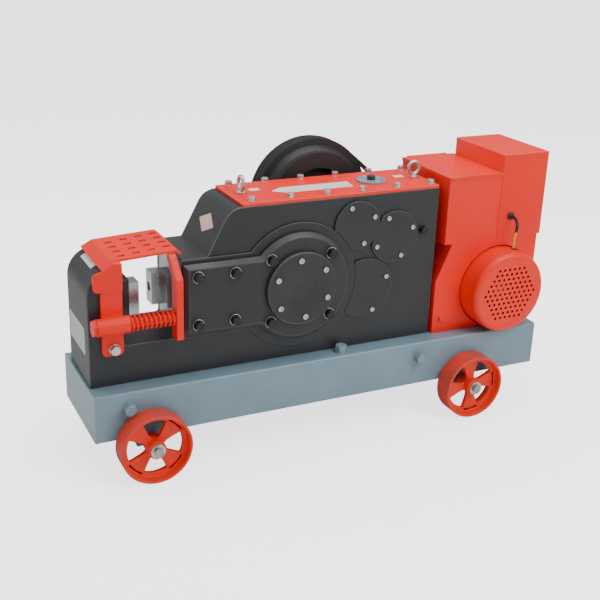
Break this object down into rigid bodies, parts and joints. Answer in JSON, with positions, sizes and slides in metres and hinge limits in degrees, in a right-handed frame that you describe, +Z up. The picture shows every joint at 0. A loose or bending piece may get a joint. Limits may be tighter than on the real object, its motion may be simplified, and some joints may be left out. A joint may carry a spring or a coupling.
{
  "type": "rebar cutter",
  "caption": "Electric rebar cutter: belt-driven flywheel and gears push a ram blade across an open side mouth, in a steel housing on a wheeled channel frame.",
  "frame": {"origin": "middle of the machine's footprint, on the floor that its wheels stand on", "axes": "+Z up, +X along the base towards the motor end, +Y from the front with the crank cover towards the flywheel side"},
  "size_m": [1.435, 0.489, 0.7975],
  "materials": {
    "red_paint": "semi-gloss sprayed enamel",
    "wheel_paint": "sprayed enamel over cast iron, worn on the tread",
    "black_paint": "satin sprayed enamel",
    "base_paint": "semi-gloss blue-grey enamel",
    "zinc": "zinc plated",
    "black_bolt": "black oxide",
    "steel": "machined, oiled",
    "blade_steel": "ground tool steel",
    "iron": "as cast",
    "gear_steel": "hobbed and oiled",
    "motor_paint": "dark enamel",
    "cowl_paint": "semi-gloss enamel",
    "belt_rubber": "matte",
    "lead_sheath": "matte",
    "fan_plastic": "moulded",
    "green_button": "moulded",
    "red_button": "moulded"
  },
  "bodies": {
    "frame": {"anvil_block": "black_paint", "axle_brackets": "base_paint", "axles": "steel", "base_bolts": "base_paint", "base_crossmembers": "base_paint", "base_front_channel": "base_paint", "base_rear_channel": "base_paint", "bearing_cap": "black_paint", "bearings": "steel", "belt_guard": "red_paint", "breather_cap": "black_paint", "control_box": "red_paint", "crank_cover": "black_paint", "crank_cover_bolts": "black_bolt", "crank_cover_plate": "black_paint", "filler_cover": "base_paint", "fixed_blade": "blade_steel", "guard_bracket": "red_paint", "housing_back": "black_paint", "housing_ends": "black_paint", "housing_front": "black_paint", "housing_screws": "zinc", "housing_slope": "black_paint", "lead_gland": "lead_sheath", "lifting_eye_left": "zinc", "lifting_eye_right": "zinc", "lower_cover": "red_paint", "motor_body": "motor_paint", "motor_fan_cowl": "cowl_paint", "motor_lead": "lead_sheath", "ram_guide": "steel", "shaft_covers": "black_paint", "tool_box": "red_paint", "top_cover": "red_paint", "top_cover_bolts": "zinc", "v_belts": "belt_rubber", "wheel_retainers": "zinc"},
    "wheel_front_left": {"wheel_front_left": "wheel_paint"},
    "wheel_front_right": {"wheel_front_right": "wheel_paint"},
    "wheel_rear_left": {"wheel_rear_left": "wheel_paint"},
    "wheel_rear_right": {"wheel_rear_right": "wheel_paint"},
    "flywheel_shaft": {"flywheel": "black_paint", "input_shaft": "steel"},
    "intermediate_shaft": {"intermediate_shaft": "steel", "intermediate_gear": "gear_steel"},
    "second_shaft": {"second_shaft": "steel", "second_gear": "gear_steel"},
    "crank": {"crank_shaft": "steel", "main_gear": "gear_steel"},
    "ram": {"ram": "steel", "moving_blade": "blade_steel"},
    "guard": {"guard_plate": "red_paint", "guard_arm": "red_paint", "guard_spring": "red_paint"},
    "motor_rotor": {"motor_rotor": "steel", "motor_fan": "fan_plastic", "motor_pulley": "iron"},
    "tool_box_lid": {"tool_box_lid": "red_paint"},
    "start_button": {"start_button": "green_button"},
    "stop_button": {"stop_button": "red_button"}
  },
  "joints": [
    {"name": "wheel_front_left_spin", "type": "hinge", "parent": "frame", "child": "wheel_front_left", "pos_m": [-0.5705, -0.0055, 0.098], "axis": [0, 1, 0], "continuous": true},
    {"name": "wheel_rear_left_spin", "type": "hinge", "parent": "frame", "child": "wheel_rear_left", "pos_m": [-0.5705, -0.0055, 0.098], "axis": [0, 1, 0], "continuous": true},
    {"name": "wheel_front_right_spin", "type": "hinge", "parent": "frame", "child": "wheel_front_right", "pos_m": [0.4265, -0.0055, 0.098], "axis": [0, 1, 0], "continuous": true},
    {"name": "wheel_rear_right_spin", "type": "hinge", "parent": "frame", "child": "wheel_rear_right", "pos_m": [0.4265, -0.0055, 0.098], "axis": [0, 1, 0], "continuous": true},
    {"name": "flywheel_spin", "type": "hinge", "parent": "frame", "child": "flywheel_shaft", "pos_m": [0.057, -0.0055, 0.6125], "axis": [0, 1, 0], "continuous": true},
    {"name": "intermediate_spin", "type": "hinge", "parent": "frame", "child": "intermediate_shaft", "pos_m": [0.17908, -0.0055, 0.56782], "axis": [0, 1, 0], "continuous": true},
    {"name": "second_spin", "type": "hinge", "parent": "frame", "child": "second_shaft", "pos_m": [0.09012, -0.0055, 0.42296], "axis": [0, 1, 0], "continuous": true},
    {"name": "crank_spin", "type": "hinge", "parent": "frame", "child": "crank", "pos_m": [-0.1225, -0.0055, 0.461], "axis": [0, 1, 0], "continuous": true},
    {"name": "motor_spin", "type": "hinge", "parent": "frame", "child": "motor_rotor", "pos_m": [0.5475, -0.0055, 0.373], "axis": [0, 1, 0], "continuous": true},
    {"name": "ram_slide", "type": "slide", "parent": "frame", "child": "ram", "axis": [-1, 0, 0], "range_m": [0, 0.054]},
    {"name": "guard_hinge", "type": "hinge", "parent": "frame", "child": "guard", "pos_m": [-0.5575, -0.1405, 0.429], "axis": [1, 0, 0], "range_deg": [0, 110], "stiffness_Nm_per_rad": 3, "springref_deg": -28.65},
    {"name": "lid_hinge", "type": "hinge", "parent": "frame", "child": "tool_box_lid", "pos_m": [0.4425, 0.1555, 0.721], "axis": [-1, 0, 0], "range_deg": [0, 105]},
    {"name": "start_button_press", "type": "slide", "parent": "frame", "child": "start_button", "axis": [-1, 0, 0], "range_m": [0, 0.005], "stiffness_N_per_m": 400, "springref_m": -0.002},
    {"name": "stop_button_press", "type": "slide", "parent": "frame", "child": "stop_button", "axis": [-1, 0, 0], "range_m": [0, 0.005], "stiffness_N_per_m": 400, "springref_m": -0.002}
  ],
  "couplings": [
    {"joint": "intermediate_spin", "follows": "flywheel_spin", "ratio": -0.35417},
    {"joint": "second_spin", "follows": "flywheel_spin", "ratio": 0.11806},
    {"joint": "crank_spin", "follows": "flywheel_spin", "ratio": -0.031067},
    {"joint": "motor_spin", "follows": "flywheel_spin", "ratio": 3.6939}
  ]
}
